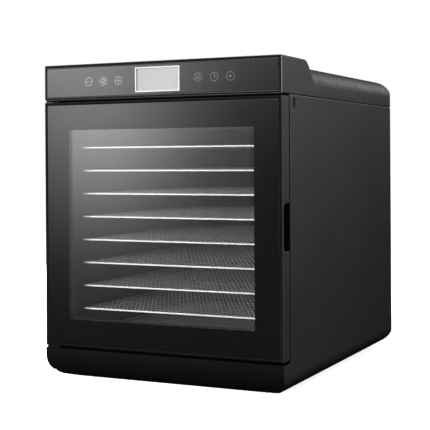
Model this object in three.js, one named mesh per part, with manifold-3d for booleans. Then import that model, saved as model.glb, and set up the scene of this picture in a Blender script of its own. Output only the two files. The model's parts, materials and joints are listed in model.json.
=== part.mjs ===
// Counter-top food dehydrator with a side-hinged glass door, ten wire trays and a rear fan.
// Millimetres. +X is to the right seen from the front, +Y to the back, +Z up.
// The origin is the middle of the footprint, on the surface the feet stand on.

import * as THREE from 'three';
import { mergeVertices } from 'three/addons/utils/BufferGeometryUtils.js';
import Module from 'manifold-3d';

const wasm = await Module();
wasm.setup();

// ---- Driving dimensions ----------------------------------------------------------------

const WIDTH = 340;
const DEPTH = 460;
const FOOT_HEIGHT = 5;
const BODY_HEIGHT = 414;
const WALL = 2.5;
const GAP = 0.3; // between touching pieces
const PAST = 20; // how far a cutting shape runs past the piece it cuts

const RIGHT_X = WIDTH / 2;
const FRONT_Y = -DEPTH / 2;
const REAR_Y = DEPTH / 2;
const BODY_Z = FOOT_HEIGHT;
const TOP_Z = FOOT_HEIGHT + BODY_HEIGHT;

// Cabinet skin: side panels, base pan and the rear frame strips
const SEAM_Z = BODY_Z + 367.5; // the seam between side panels and top cover
const CABINET_FRONT_Y = FRONT_Y + 27;
const SIDE_BOTTOM_RADIUS = 24;
const REAR_BOTTOM_RADIUS = 28;
const REAR_CORNER_RADIUS = 8;
const STRIP_WIDTH = 30; // how far a side panel wraps under and behind the cabinet
const SLOT_SIZE = [7, 12]; // small vertical slot in the right side panel
const SLOT_CENTRE = [FRONT_Y + 41.6, BODY_Z + 357.2];

// Top cover: raised control housing in front, lower deck behind
const DECK_Z = BODY_Z + 407.2;
const DECK_FILLET = 24;
const DECK_REAR_RADIUS = 24;
const HUMP_SLOPE_START_Y = FRONT_Y + 78.7;
const HUMP_SLOPE_LENGTH = 44;
const HUMP_SLOPE_DROP = 30.8;
const HOUSING_FRONT_WALL = 4;

// Control panel
const PANEL_WIDTH = 330;
const PANEL_Z = [BODY_Z + 371.5, BODY_Z + 409.3];
const PANEL_THICKNESS = 2;
const DISPLAY_SIZE = [64, 32];
const DISPLAY_Z = BODY_Z + 390.5;
const DISPLAY_THICKNESS = 3.5;
const BOARD_THICKNESS = 1.6;
const CONTROL_BOARD_WIDTH = 280;
const CONTROL_BOARD_Z = [DISPLAY_Z - 13, DISPLAY_Z + 15];
const POWER_BOARD_WIDTH = 120;
const POWER_BOARD_Y = [FRONT_Y + 120, FRONT_Y + 210];
const POWER_BOARD_Z = SEAM_Z + 4;

// Door
const DOOR_Z = [BODY_Z + 43, BODY_Z + 365];
const DOOR_THICKNESS = 22.3;
const DOOR_HINGE_CORNER_RADIUS = 5;
const GLASS_INSET = 4;
const GLASS_THICKNESS = 4;
const WINDOW_WIDTH = 265;
const WINDOW_Z = [BODY_Z + 79, BODY_Z + 328];
const DOOR_RECESS_WIDTH = 286; // the inside face steps in here, clear of the trays
const DOOR_RECESS_Z = [BODY_Z + 53, BODY_Z + 355];
const DOOR_RECESS_DEPTH = 5;
const NOTCH_Z = [BODY_Z + 176, BODY_Z + 234.5];
const NOTCH_DEPTH = 9;
const GASKET_SIZE = 4;

// Hinge: two headed pins on one upright axis
const HINGE_X = -RIGHT_X + 8.5;
const HINGE_Y = FRONT_Y + 11.3;
const PIN_RADIUS = 3;
const PIN_CLEARANCE = 0.3;
const PIN_IN_DOOR = 12;

// Drying chamber
const CHAMBER_WIDTH = 280;
const CHAMBER_Z = [BODY_Z + 50, BODY_Z + 360];
const CHAMBER_REAR_Y = FRONT_Y + 380;
const SHEET = 2; // thickness of liner, floor, ceiling and grille
const FRAME_THICKNESS = 3;
const MOUTH_Z = [BODY_Z + 49.5, BODY_Z + 359.5];
const MOUTH_CORNER_RADIUS = 6;
const FRONT_FRAME_FOOT_Z = BODY_Z + 35;
const LEDGE_REACH = 9;

// Trays
const TRAY_COUNT = 10;
const TRAY_PITCH = 30.8;
const LOWEST_TRAY_Z = BODY_Z + 58.6;
const TRAY_WIDTH = 269;
const TRAY_FRONT_Y = FRONT_Y + 33.8;
const TRAY_LENGTH = 341;
const TRAY_THICKNESS = 2.4;
const TRAY_BAR = 4;
const TRAY_SLOT_COUNT = 6;
const DRIP_TRAY_FRONT_Y = FRONT_Y + 45;
const DRIP_TRAY_HEIGHT = 4;

// Fan and heater, on one axis behind the rear grille
const FAN_Z = BODY_Z + 205;
const FAN_Y = [REAR_Y - 58, REAR_Y - 42];
const FAN_RADIUS = 72;
const HUB_RADIUS = 16;
const BLADE_COUNT = 5;
const SHAFT_RADIUS = 3;
const MOTOR_RADIUS = 28;
const MOTOR_Y = [REAR_Y - 36.7, REAR_Y - 9];
const BRACKET_WIDTH = 300;
const BRACKET_HEIGHT = 40;
const HEATER_RING_RADIUS = 60;
const HEATER_TUBE_RADIUS = 3;
const HEATER_Y = CHAMBER_REAR_Y + 9;

// Rear panel
const REAR_PANEL_Y = [REAR_Y - 5.3, REAR_Y - WALL - GAP];
const REAR_PANEL_Z = [BODY_Z + 29, SEAM_Z - GAP];
const REAR_PANEL_WIDTH = 310;
const REAR_PANEL_LAP = 5; // how far the base pan's rear lip covers the panel's foot
const GLAND_CENTRE = [118, BODY_Z + 52];
const GLAND_BORE = 4;
const GLAND_BODY_RADIUS = 7.5;
const GLAND_FLANGE_RADIUS = 11;

const ARC_STEP = Math.PI / 14;

// ---- Shape tools -----------------------------------------------------------------------

// Turns corners [a, b, radius] into an outline whose corners are arcs of that radius.
function roundCorners(corners) {
  const points = [];
  corners.forEach(([a, b, radius = 0], index) => {
    const corner = new THREE.Vector2(a, b);
    if (radius === 0) {
      points.push(corner);
      return;
    }
    const before = corners[(index + corners.length - 1) % corners.length];
    const after = corners[(index + 1) % corners.length];
    const toBefore = new THREE.Vector2(before[0] - a, before[1] - b).normalize();
    const toAfter = new THREE.Vector2(after[0] - a, after[1] - b).normalize();
    const halfAngle = Math.acos(toBefore.dot(toAfter)) / 2;
    const bisector = toBefore.clone().add(toAfter).normalize();
    const centre = corner.clone().addScaledVector(bisector, radius / Math.sin(halfAngle));
    const start = corner.clone().addScaledVector(toBefore, radius / Math.tan(halfAngle)).sub(centre);
    const end = corner.clone().addScaledVector(toAfter, radius / Math.tan(halfAngle)).sub(centre);
    const sweep = Math.atan2(start.cross(end), start.dot(end));
    const steps = Math.max(2, Math.ceil(Math.abs(sweep) / ARC_STEP));
    for (let step = 0; step <= steps; step += 1) {
      const spoke = start.clone().rotateAround(new THREE.Vector2(), (sweep * step) / steps);
      points.push(centre.clone().add(spoke));
    }
  });
  return points;
}

// A rectangle's four corners, all with the same radius.
function rectangle([a0, a1], [b0, b1], radius = 0) {
  return [
    [a0, b0, radius],
    [a1, b0, radius],
    [a1, b1, radius],
    [a0, b1, radius],
  ];
}

function extrude(corners, depth) {
  const shape = new THREE.Shape(roundCorners(corners));
  return new THREE.ExtrudeGeometry(shape, { depth, bevelEnabled: false });
}

// Prisms along each axis. The corners are (x, y), (x, z) and (y, z).
function prismZ(corners, [from, to]) {
  return solid(extrude(corners, to - from).translate(0, 0, from));
}

function prismY(corners, [from, to]) {
  return solid(extrude(corners, to - from).rotateX(Math.PI / 2).translate(0, to, 0));
}

function prismX(corners, [from, to]) {
  const turn = new THREE.Matrix4().set(0, 0, 1, from, 1, 0, 0, 0, 0, 1, 0, 0, 0, 0, 0, 1);
  return solid(extrude(corners, to - from).applyMatrix4(turn));
}

function block([x0, x1], [y0, y1], [z0, z1]) {
  const box = new THREE.BoxGeometry(x1 - x0, y1 - y0, z1 - z0);
  return solid(box.translate((x0 + x1) / 2, (y0 + y1) / 2, (z0 + z1) / 2));
}

// A turned piece about its local Z axis, from (radius, height) points on a closed profile.
function turned(profile, sides = 20) {
  const points = profile.map(([radius, height]) => new THREE.Vector2(radius, height));
  if (profile[0][0] > 0) {
    points.push(points[0].clone());
  }
  return new THREE.LatheGeometry(points, sides).rotateX(Math.PI / 2);
}

function turnedUpright(profile, [x, y], sides) {
  return solid(turned(profile, sides).translate(x, y, 0));
}

// The same with its axis along +Y, profile heights being Y positions.
function turnedAlongY(profile, [x, z], sides) {
  return solid(turned(profile, sides).rotateX(-Math.PI / 2).translate(x, 0, z));
}

function disc(radius, [from, to]) {
  return [
    [0, from],
    [radius, from],
    [radius, to],
    [0, to],
  ];
}

// Makes a manifold solid from a closed geometry.
function solid(geometry) {
  const bare = geometry.clone();
  bare.deleteAttribute('normal');
  bare.deleteAttribute('uv');
  const merged = mergeVertices(bare);
  const mesh = new wasm.Mesh({
    numProp: 3,
    vertProperties: new Float32Array(merged.attributes.position.array),
    triVerts: new Uint32Array(merged.index.array),
  });
  return new wasm.Manifold(mesh);
}

function cut(piece, ...cutters) {
  return cutters.reduce((rest, cutter) => rest.subtract(cutter), piece);
}

function join(first, ...others) {
  return others.reduce((sum, other) => sum.add(other), first);
}

function common(first, ...others) {
  return others.reduce((sum, other) => sum.intersect(other), first);
}

function geometryOf(piece) {
  const { vertProperties, triVerts } = piece.getMesh();
  const geometry = new THREE.BufferGeometry();
  geometry.setAttribute('position', new THREE.BufferAttribute(new Float32Array(vertProperties), 3));
  geometry.setIndex(new THREE.BufferAttribute(new Uint32Array(triVerts), 1));
  const flat = geometry.toNonIndexed();
  flat.computeVertexNormals();
  return flat;
}

// ---- Materials -------------------------------------------------------------------------

function finish(color, roughness, metalness = 0) {
  return new THREE.MeshStandardMaterial({ color, roughness, metalness });
}

const SIDE_PLASTIC = finish(0x2c2c2e, 0.5);
const BLACK_PLASTIC = finish(0x141415, 0.35);
const INNER_PLASTIC = finish(0x1b1b1d, 0.6);
const PANEL_GLASS = finish(0x0c0c0e, 0.08);
const WINDOW_GLASS = finish(0x3c3e42, 0.05);
const DISPLAY_FACE = finish(0xc4c4c4, 0.3);
const CHROME = finish(0xe4e4e6, 0.15, 1);
const STEEL = finish(0x9a9a9c, 0.4, 1);
const RUBBER = finish(0x101010, 0.9);
const BOARD = finish(0x1f5a32, 0.6);
const WHITE_PLASTIC = finish(0xd8d8d4, 0.5);
const MAGNET = finish(0x55555a, 0.5, 1);

const dehydrator = new THREE.Group();

function addPart(name, piece, material) {
  const mesh = new THREE.Mesh(geometryOf(piece), material);
  mesh.name = name;
  dehydrator.add(mesh);
}

// ---- Cabinet skin ----------------------------------------------------------------------

// The cabinet's outer form below the seam, drawn in by inset; the inner form runs out at top and front.
function cabinetForm(inset) {
  const x = RIGHT_X - inset;
  const rear = REAR_Y - inset;
  const bottom = BODY_Z + inset;
  const open = inset > 0 ? PAST : 0;
  const front = CABINET_FRONT_Y - open;
  const top = SEAM_Z - GAP / 2 + open;
  const across = [
    [-x, bottom, SIDE_BOTTOM_RADIUS - inset],
    [x, bottom, SIDE_BOTTOM_RADIUS - inset],
    [x, top],
    [-x, top],
  ];
  const along = [
    [front, bottom],
    [rear, bottom, REAR_BOTTOM_RADIUS - inset],
    [rear, top],
    [front, top],
  ];
  const plan = [
    [-x, front],
    [x, front],
    [x, rear, REAR_CORNER_RADIUS - inset],
    [-x, rear, REAR_CORNER_RADIUS - inset],
  ];
  return common(
    prismY(across, [front, rear]),
    prismX(along, [-x, x]),
    prismZ(plan, [bottom, top]),
  );
}

const cabinetSkin = cut(cabinetForm(0), cabinetForm(WALL));
const STRIP_X = RIGHT_X - STRIP_WIDTH;

function addSidePanels() {
  const reachY = [FRONT_Y, REAR_Y + PAST];
  const reachZ = [0, TOP_Z];
  const left = common(cabinetSkin, block([-RIGHT_X - PAST, -STRIP_X], reachY, reachZ));
  const right = common(cabinetSkin, block([STRIP_X, RIGHT_X + PAST], reachY, reachZ));
  const slot = block(
    [RIGHT_X - 2 * WALL, RIGHT_X + PAST],
    [SLOT_CENTRE[0] - SLOT_SIZE[0] / 2, SLOT_CENTRE[0] + SLOT_SIZE[0] / 2],
    [SLOT_CENTRE[1] - SLOT_SIZE[1] / 2, SLOT_CENTRE[1] + SLOT_SIZE[1] / 2],
  );
  addPart('side_panel_left', left, SIDE_PLASTIC);
  addPart('side_panel_right', cut(right, slot), SIDE_PLASTIC);
}

const FOOT_X = RIGHT_X - 45;
const FOOT_Y = [FRONT_Y + 75, REAR_Y - 45];
const FOOT_PLACES = {
  foot_front_left: [-FOOT_X, FOOT_Y[0]],
  foot_front_right: [FOOT_X, FOOT_Y[0]],
  foot_rear_left: [-FOOT_X, FOOT_Y[1]],
  foot_rear_right: [FOOT_X, FOOT_Y[1]],
};
const FOOT_RADIUS = 13;
const FOOT_PEG_RADIUS = 4;
const FOOT_BARB_HEIGHT = 5;

function addBasePan() {
  const x = STRIP_X - GAP;
  const panTop = REAR_PANEL_Z[0] + REAR_PANEL_LAP;
  const middle = block([-x, x], [FRONT_Y, REAR_Y + PAST], [0, panTop]);
  const pegHoles = Object.values(FOOT_PLACES).map((place) =>
    turnedUpright(disc(FOOT_PEG_RADIUS + GAP, [0, BODY_Z + PAST]), place, 16),
  );
  addPart('base_pan', cut(common(cabinetSkin, middle), ...pegHoles), BLACK_PLASTIC);
}

// Push-in rubber feet: a pad under the pan, a peg through it and a barb above it.
function addFeet() {
  const pad = BODY_Z - GAP;
  const barb = BODY_Z + WALL + GAP;
  const profile = [
    [0, 0],
    [FOOT_RADIUS - 2, 0],
    [FOOT_RADIUS, 1.5],
    [FOOT_RADIUS - 1, pad],
    [FOOT_PEG_RADIUS, pad],
    [FOOT_PEG_RADIUS, barb],
    [FOOT_PEG_RADIUS + 1.5, barb],
    [FOOT_PEG_RADIUS - 1, barb + FOOT_BARB_HEIGHT],
    [0, barb + FOOT_BARB_HEIGHT],
  ];
  for (const [name, place] of Object.entries(FOOT_PLACES)) {
    addPart(name, turnedUpright(profile, place, 16), RUBBER);
  }
}

// ---- Front base piece, below the door --------------------------------------------------

const BASE_FRONT_TOP_Z = BODY_Z + 40;
const BASE_FRONT_CURVE = 33;
const BASE_FRONT_REAR_Y = CABINET_FRONT_Y - GAP;

function baseFrontForm(inset) {
  const x = RIGHT_X - inset;
  const front = FRONT_Y + inset;
  const bottom = BODY_Z + inset;
  const top = BASE_FRONT_TOP_Z - inset;
  const rear = FRONT_Y + BASE_FRONT_CURVE + PAST;
  const profile = [
    [rear, bottom],
    [rear, top],
    [front, top],
    [front, bottom, BASE_FRONT_CURVE - inset],
  ];
  const across = [
    [-x, bottom, SIDE_BOTTOM_RADIUS - inset],
    [x, bottom, SIDE_BOTTOM_RADIUS - inset],
    [x, top],
    [-x, top],
  ];
  return common(prismX(profile, [-x, x]), prismY(across, [FRONT_Y - PAST, rear]));
}

function addBaseFront() {
  const behind = block([-WIDTH, WIDTH], [BASE_FRONT_REAR_Y, REAR_Y], [0, TOP_Z]);
  const pinHole = turnedUpright(
    disc(PIN_RADIUS + PIN_CLEARANCE, [BODY_Z, TOP_Z]),
    [HINGE_X, HINGE_Y],
    16,
  );
  addPart('base_front', cut(baseFrontForm(0), baseFrontForm(WALL), behind, pinHole), BLACK_PLASTIC);
}

// ---- Top cover -------------------------------------------------------------------------

// Side outline of the raised housing: level, then an S-shaped slope down to the deck's edge.
function humpOutline(inset) {
  const front = FRONT_Y + (inset > 0 ? HOUSING_FRONT_WALL : 0);
  const top = TOP_Z - inset;
  const end = HUMP_SLOPE_START_Y + HUMP_SLOPE_LENGTH;
  const outline = [
    [end, SEAM_Z - inset],
    [front, SEAM_Z - inset],
    [front, top],
  ].reverse();
  const slopeSteps = 14;
  const slope = [];
  for (let step = 0; step <= slopeSteps; step += 1) {
    const t = step / slopeSteps;
    const fall = (HUMP_SLOPE_DROP * (1 - Math.cos(Math.PI * t))) / 2;
    slope.push([HUMP_SLOPE_START_Y + HUMP_SLOPE_LENGTH * t, top - fall]);
  }
  return [...outline, ...slope.reverse()];
}

function topCoverForm(inset) {
  const x = RIGHT_X - inset;
  const rear = REAR_Y - inset;
  const top = DECK_Z - inset;
  const bottom = SEAM_Z + (inset > 0 ? -PAST : GAP / 2);
  const deckAcross = [
    [-x, bottom],
    [x, bottom],
    [x, top, DECK_FILLET - inset],
    [-x, top, DECK_FILLET - inset],
  ];
  const deckAlong = [
    [HUMP_SLOPE_START_Y, bottom],
    [rear, bottom],
    [rear, top, DECK_REAR_RADIUS - inset],
    [HUMP_SLOPE_START_Y, top],
  ];
  const plan = [
    [-x, FRONT_Y],
    [x, FRONT_Y],
    [x, rear, REAR_CORNER_RADIUS - inset],
    [-x, rear, REAR_CORNER_RADIUS - inset],
  ];
  const deck = common(
    prismY(deckAcross, [HUMP_SLOPE_START_Y, rear]),
    prismX(deckAlong, [-x, x]),
  );
  const hump = prismX(humpOutline(inset), [-x, x]);
  return common(join(deck, hump), prismZ(plan, [bottom, TOP_Z]));
}

function addTopCover() {
  const lip = block(
    [-WIDTH, WIDTH],
    [FRONT_Y - PAST, CABINET_FRONT_Y],
    [SEAM_Z - PAST, SEAM_Z + GAP / 2 + WALL],
  );
  const glassSeat = block(
    [-PANEL_WIDTH / 2 - GAP, PANEL_WIDTH / 2 + GAP],
    [FRONT_Y - PAST, FRONT_Y + PANEL_THICKNESS + GAP],
    [PANEL_Z[0] - GAP, PANEL_Z[1] + GAP],
  );
  const displayHole = block(
    [-DISPLAY_SIZE[0] / 2 - 1, DISPLAY_SIZE[0] / 2 + 1],
    [FRONT_Y - PAST, FRONT_Y + PAST],
    [DISPLAY_Z - DISPLAY_SIZE[1] / 2 - 1, DISPLAY_Z + DISPLAY_SIZE[1] / 2 + 1],
  );
  const pinHole = turnedUpright(
    disc(PIN_RADIUS + PIN_CLEARANCE, [SEAM_Z - PAST, SEAM_Z + WALL + 1]),
    [HINGE_X, HINGE_Y],
    16,
  );
  const hollow = cut(topCoverForm(WALL), lip);
  const underside = block([-WIDTH, WIDTH], [FRONT_Y - PAST, REAR_Y + PAST], [0, SEAM_Z + GAP / 2]);
  const cover = cut(topCoverForm(0), hollow, underside, glassSeat, displayHole, pinHole);
  addPart('top_cover', cover, SIDE_PLASTIC);
}

// ---- Control panel ---------------------------------------------------------------------

function addControlPanel() {
  const glass = block(
    [-PANEL_WIDTH / 2, PANEL_WIDTH / 2],
    [FRONT_Y, FRONT_Y + PANEL_THICKNESS],
    PANEL_Z,
  );
  const displayY = FRONT_Y + PANEL_THICKNESS + GAP;
  const display = block(
    [-DISPLAY_SIZE[0] / 2, DISPLAY_SIZE[0] / 2],
    [displayY, displayY + DISPLAY_THICKNESS],
    [DISPLAY_Z - DISPLAY_SIZE[1] / 2, DISPLAY_Z + DISPLAY_SIZE[1] / 2],
  );
  const boardY = displayY + DISPLAY_THICKNESS + GAP;
  const controlBoard = block(
    [-CONTROL_BOARD_WIDTH / 2, CONTROL_BOARD_WIDTH / 2],
    [boardY, boardY + BOARD_THICKNESS],
    CONTROL_BOARD_Z,
  );
  const powerBoard = block(
    [-POWER_BOARD_WIDTH / 2, POWER_BOARD_WIDTH / 2],
    POWER_BOARD_Y,
    [POWER_BOARD_Z, POWER_BOARD_Z + BOARD_THICKNESS],
  );
  addPart('control_panel_glass', glass, PANEL_GLASS);
  addPart('display_module', display, DISPLAY_FACE);
  addPart('control_board', controlBoard, BOARD);
  addPart('power_board', powerBoard, BOARD);
}

// ---- Chamber ---------------------------------------------------------------------------

const CHAMBER_X = CHAMBER_WIDTH / 2;
const LINER_Y = [CABINET_FRONT_Y + FRAME_THICKNESS + GAP, CHAMBER_REAR_Y - GAP];
const MAGNET_SIZE = 12;
const MAGNET_X = [148, 148 + MAGNET_SIZE];
const CATCH_HEIGHTS = { lower: BODY_Z + 95, upper: BODY_Z + 310 };

function catchZ(height, size) {
  return [height - size / 2, height + size / 2];
}

function addFrontFrame() {
  const x = RIGHT_X - WALL - GAP;
  const y = [CABINET_FRONT_Y, CABINET_FRONT_Y + FRAME_THICKNESS];
  const plate = block([-x, x], y, [FRONT_FRAME_FOOT_Z, SEAM_Z - GAP]);
  const through = [y[0] - 1, y[1] + 1];
  const pocketX = [MAGNET_X[0] - GAP, MAGNET_X[1] + GAP];
  const pockets = Object.values(CATCH_HEIGHTS).map((height) =>
    block(pocketX, through, catchZ(height, MAGNET_SIZE + 2 * GAP)),
  );
  const mouth = prismY(rectangle([-CHAMBER_X, CHAMBER_X], MOUTH_Z, MOUTH_CORNER_RADIUS), through);
  addPart('front_frame', cut(plate, mouth, ...pockets), INNER_PLASTIC);
}

function trayZ(index) {
  return LOWEST_TRAY_Z + TRAY_PITCH * index;
}

// A liner wall in cross-section is a comb: one ledge under each tray's edge.
function addLiners() {
  const face = -CHAMBER_X;
  const corners = [[face, CHAMBER_Z[0]]];
  for (let index = 0; index < TRAY_COUNT; index += 1) {
    const top = trayZ(index) - TRAY_THICKNESS / 2 - GAP;
    corners.push([face, top - SHEET]);
    corners.push([face + LEDGE_REACH, top - SHEET]);
    corners.push([face + LEDGE_REACH, top]);
    corners.push([face, top]);
  }
  corners.push([face, CHAMBER_Z[1]]);
  corners.push([face - SHEET, CHAMBER_Z[1]]);
  corners.push([face - SHEET, CHAMBER_Z[0]]);
  const mirrored = corners.map(([x, z]) => [-x, z]).reverse();
  addPart('chamber_liner_left', prismY(corners, LINER_Y), INNER_PLASTIC);
  addPart('chamber_liner_right', prismY(mirrored, LINER_Y), INNER_PLASTIC);
}

function addFloorAndCeiling() {
  const x = CHAMBER_X + SHEET;
  const floor = block([-x, x], LINER_Y, [CHAMBER_Z[0] - GAP - SHEET, CHAMBER_Z[0] - GAP]);
  const ceiling = block([-x, x], LINER_Y, [CHAMBER_Z[1] + GAP, CHAMBER_Z[1] + GAP + SHEET]);
  addPart('chamber_floor', floor, STEEL);
  addPart('chamber_ceiling', ceiling, INNER_PLASTIC);
}

const GRILLE_SLOT_COUNT = 6;
const GRILLE_SLOT_PITCH = 14;
const GRILLE_SLOT_WIDTH = 6;
const GRILLE_SLOT_Z = [BODY_Z + 85, BODY_Z + 325];
const GRILLE_FIELD_WIDTH = 167;
const GRILLE_FIELD_Z = [BODY_Z + 60, BODY_Z + 350];
const GRILLE_FIELD_DEPTH = 2.5;

// The chamber's rear wall: a raised field in the middle with upright slots through it.
function addRearGrille() {
  const x = CHAMBER_X + SHEET;
  const y = [CHAMBER_REAR_Y, CHAMBER_REAR_Y + SHEET];
  const slots = [];
  for (let index = 0; index < GRILLE_SLOT_COUNT; index += 1) {
    const centre = (index - (GRILLE_SLOT_COUNT - 1) / 2) * GRILLE_SLOT_PITCH;
    const across = [centre - GRILLE_SLOT_WIDTH / 2, centre + GRILLE_SLOT_WIDTH / 2];
    slots.push(block(across, [y[0] - PAST, y[1] + 1], GRILLE_SLOT_Z));
  }
  const plate = block([-x, x], y, [CHAMBER_Z[0] - GAP - SHEET, CHAMBER_Z[1] + GAP + SHEET]);
  const field = block(
    [-GRILLE_FIELD_WIDTH / 2, GRILLE_FIELD_WIDTH / 2],
    [y[0] - GRILLE_FIELD_DEPTH, y[1]],
    GRILLE_FIELD_Z,
  );
  addPart('rear_grille', cut(join(plate, field), ...slots), INNER_PLASTIC);
}

// ---- Trays -----------------------------------------------------------------------------

function addTrays() {
  const x = TRAY_WIDTH / 2;
  const y = [TRAY_FRONT_Y, TRAY_FRONT_Y + TRAY_LENGTH];
  const slotPitch = (TRAY_WIDTH - TRAY_BAR) / TRAY_SLOT_COUNT;
  for (let index = 0; index < TRAY_COUNT; index += 1) {
    const z = [trayZ(index) - TRAY_THICKNESS / 2, trayZ(index) + TRAY_THICKNESS / 2];
    const slots = [];
    for (let slot = 0; slot < TRAY_SLOT_COUNT; slot += 1) {
      const left = -x + TRAY_BAR + slot * slotPitch;
      const across = [left, left + slotPitch - TRAY_BAR];
      slots.push(block(across, [y[0] + TRAY_BAR, y[1] - TRAY_BAR], [z[0] - 1, z[1] + 1]));
    }
    const number = String(TRAY_COUNT - index).padStart(2, '0');
    addPart(`tray_${number}`, cut(block([-x, x], y, z), ...slots), CHROME);
  }
}

// A shallow pan on the chamber floor that catches drips and crumbs.
function addDripTray() {
  const x = TRAY_WIDTH / 2;
  const y = [DRIP_TRAY_FRONT_Y, TRAY_FRONT_Y + TRAY_LENGTH];
  const z = [CHAMBER_Z[0], CHAMBER_Z[0] + DRIP_TRAY_HEIGHT];
  const rim = 1.2;
  const hollow = block([-x + rim, x - rim], [y[0] + rim, y[1] - rim], [z[0] + rim, z[1] + PAST]);
  addPart('drip_tray', cut(block([-x, x], y, z), hollow), STEEL);
}

// ---- Fan, motor and heater -------------------------------------------------------------

function addFan() {
  const bladeRoot = HUB_RADIUS - 4;
  const bladeLength = FAN_RADIUS - bladeRoot;
  const bladeChord = 30;
  const bladeThickness = 2;
  const bladePitch = THREE.MathUtils.degToRad(62);
  const middleY = (FAN_Y[0] + FAN_Y[1]) / 2;
  const blades = [];
  for (let index = 0; index < BLADE_COUNT; index += 1) {
    const blade = new THREE.BoxGeometry(bladeLength, bladeThickness, bladeChord);
    blade.rotateX(Math.PI / 2 - bladePitch);
    blade.translate(bladeRoot + bladeLength / 2, middleY, 0);
    blade.rotateY((index * 2 * Math.PI) / BLADE_COUNT);
    blades.push(solid(blade.translate(0, 0, FAN_Z)));
  }
  const hub = turnedAlongY(disc(HUB_RADIUS, FAN_Y), [0, FAN_Z], 24);
  const bore = turnedAlongY(disc(SHAFT_RADIUS + GAP, [FAN_Y[0] - 1, FAN_Y[1] + 1]), [0, FAN_Z], 16);
  addPart('fan_impeller', cut(join(hub, ...blades), bore), BLACK_PLASTIC);
  const shaft = turnedAlongY(disc(SHAFT_RADIUS, [FAN_Y[0] - 2, MOTOR_Y[0] + 8]), [0, FAN_Z], 16);
  addPart('motor_shaft', shaft, STEEL);
}

function addMotor() {
  const shaftBore = SHAFT_RADIUS + GAP;
  const motor = cut(
    turnedAlongY(disc(MOTOR_RADIUS, MOTOR_Y), [0, FAN_Z], 24),
    turnedAlongY(disc(shaftBore, [MOTOR_Y[0] - 1, MOTOR_Y[0] + 10]), [0, FAN_Z], 16),
  );
  addPart('motor', motor, STEEL);
  const bracketY = [MOTOR_Y[0] - GAP - SHEET, MOTOR_Y[0] - GAP];
  const bracket = cut(
    block(
      [-BRACKET_WIDTH / 2, BRACKET_WIDTH / 2],
      bracketY,
      [FAN_Z - BRACKET_HEIGHT / 2, FAN_Z + BRACKET_HEIGHT / 2],
    ),
    turnedAlongY(disc(SHAFT_RADIUS + 3, [bracketY[0] - 1, bracketY[1] + 1]), [0, FAN_Z], 16),
  );
  addPart('motor_bracket', bracket, STEEL);
}

const CUTOUT_RADIUS = 8;
const CUTOUT_LENGTH = 7;
const CUTOUT_CENTRE = [0, GRILLE_SLOT_Z[1] + 14];
const PROBE_RADIUS = 2.5;
const PROBE_LENGTH = 8;
const PROBE_CENTRE = [94, CHAMBER_Z[1] - 8];

// A ring heater in the air stream between grille and fan, with its cut-out and the air probe.
function addHeater() {
  const tubeSides = 8;
  const ring = [];
  for (let side = 0; side < tubeSides; side += 1) {
    const angle = (side * 2 * Math.PI) / tubeSides;
    ring.push([
      HEATER_RING_RADIUS + HEATER_TUBE_RADIUS * Math.cos(angle),
      HEATER_Y + HEATER_TUBE_RADIUS * Math.sin(angle),
    ]);
  }
  addPart('heater_element', turnedAlongY(ring, [0, FAN_Z], 28), STEEL);
  const cutoutFront = CHAMBER_REAR_Y + SHEET + GAP;
  const cutout = disc(CUTOUT_RADIUS, [cutoutFront, cutoutFront + CUTOUT_LENGTH]);
  const probe = disc(PROBE_RADIUS, [CHAMBER_REAR_Y - GAP - PROBE_LENGTH, CHAMBER_REAR_Y - GAP]);
  addPart('thermal_cutout', turnedAlongY(cutout, CUTOUT_CENTRE, 16), WHITE_PLASTIC);
  addPart('temperature_sensor', turnedAlongY(probe, PROBE_CENTRE, 12), STEEL);
}

// ---- Rear panel ------------------------------------------------------------------------

const VENT_COUNT = 9;
const VENT_PITCH = 14;
const VENT_SIZE = [130, 5];
const SCREW_X = 134;
const SCREW_RADIUS = 1.6;
const SCREW_HOLE_RADIUS = 2;
const SCREW_HEAD_RADIUS = 3.6;
const SCREW_LENGTH = 10;
const SCREW_HEIGHTS = [BODY_Z + 45, BODY_Z + 195, BODY_Z + 350];

function addRearPanel() {
  const through = [REAR_PANEL_Y[0] - 1, REAR_PANEL_Y[1] + 1];
  const holes = [];
  for (let index = 0; index < VENT_COUNT; index += 1) {
    const middle = FAN_Z + (index - (VENT_COUNT - 1) / 2) * VENT_PITCH;
    const across = [-VENT_SIZE[0] / 2, VENT_SIZE[0] / 2];
    const upright = [middle - VENT_SIZE[1] / 2, middle + VENT_SIZE[1] / 2];
    holes.push(block(across, through, upright));
  }
  for (const x of [-SCREW_X, SCREW_X]) {
    for (const z of SCREW_HEIGHTS) {
      holes.push(turnedAlongY(disc(SCREW_HOLE_RADIUS, through), [x, z], 12));
    }
  }
  holes.push(turnedAlongY(disc(GLAND_BODY_RADIUS + GAP, through), GLAND_CENTRE, 20));
  const x = [-REAR_PANEL_WIDTH / 2, REAR_PANEL_WIDTH / 2];
  addPart('rear_panel', cut(block(x, REAR_PANEL_Y, REAR_PANEL_Z), ...holes), BLACK_PLASTIC);
}

function addScrews() {
  const head = REAR_PANEL_Y[1] + GAP;
  const profile = [
    [0, head - SCREW_LENGTH],
    [SCREW_RADIUS, head - SCREW_LENGTH + 2],
    [SCREW_RADIUS, head],
    [SCREW_HEAD_RADIUS, head],
    [SCREW_HEAD_RADIUS - 0.6, head + 1.5],
    [0, head + 1.8],
  ];
  let number = 1;
  for (const x of [-SCREW_X, SCREW_X]) {
    for (const z of SCREW_HEIGHTS) {
      addPart(`rear_panel_screw_${number}`, turnedAlongY(profile, [x, z], 12), STEEL);
      number += 1;
    }
  }
}

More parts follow.
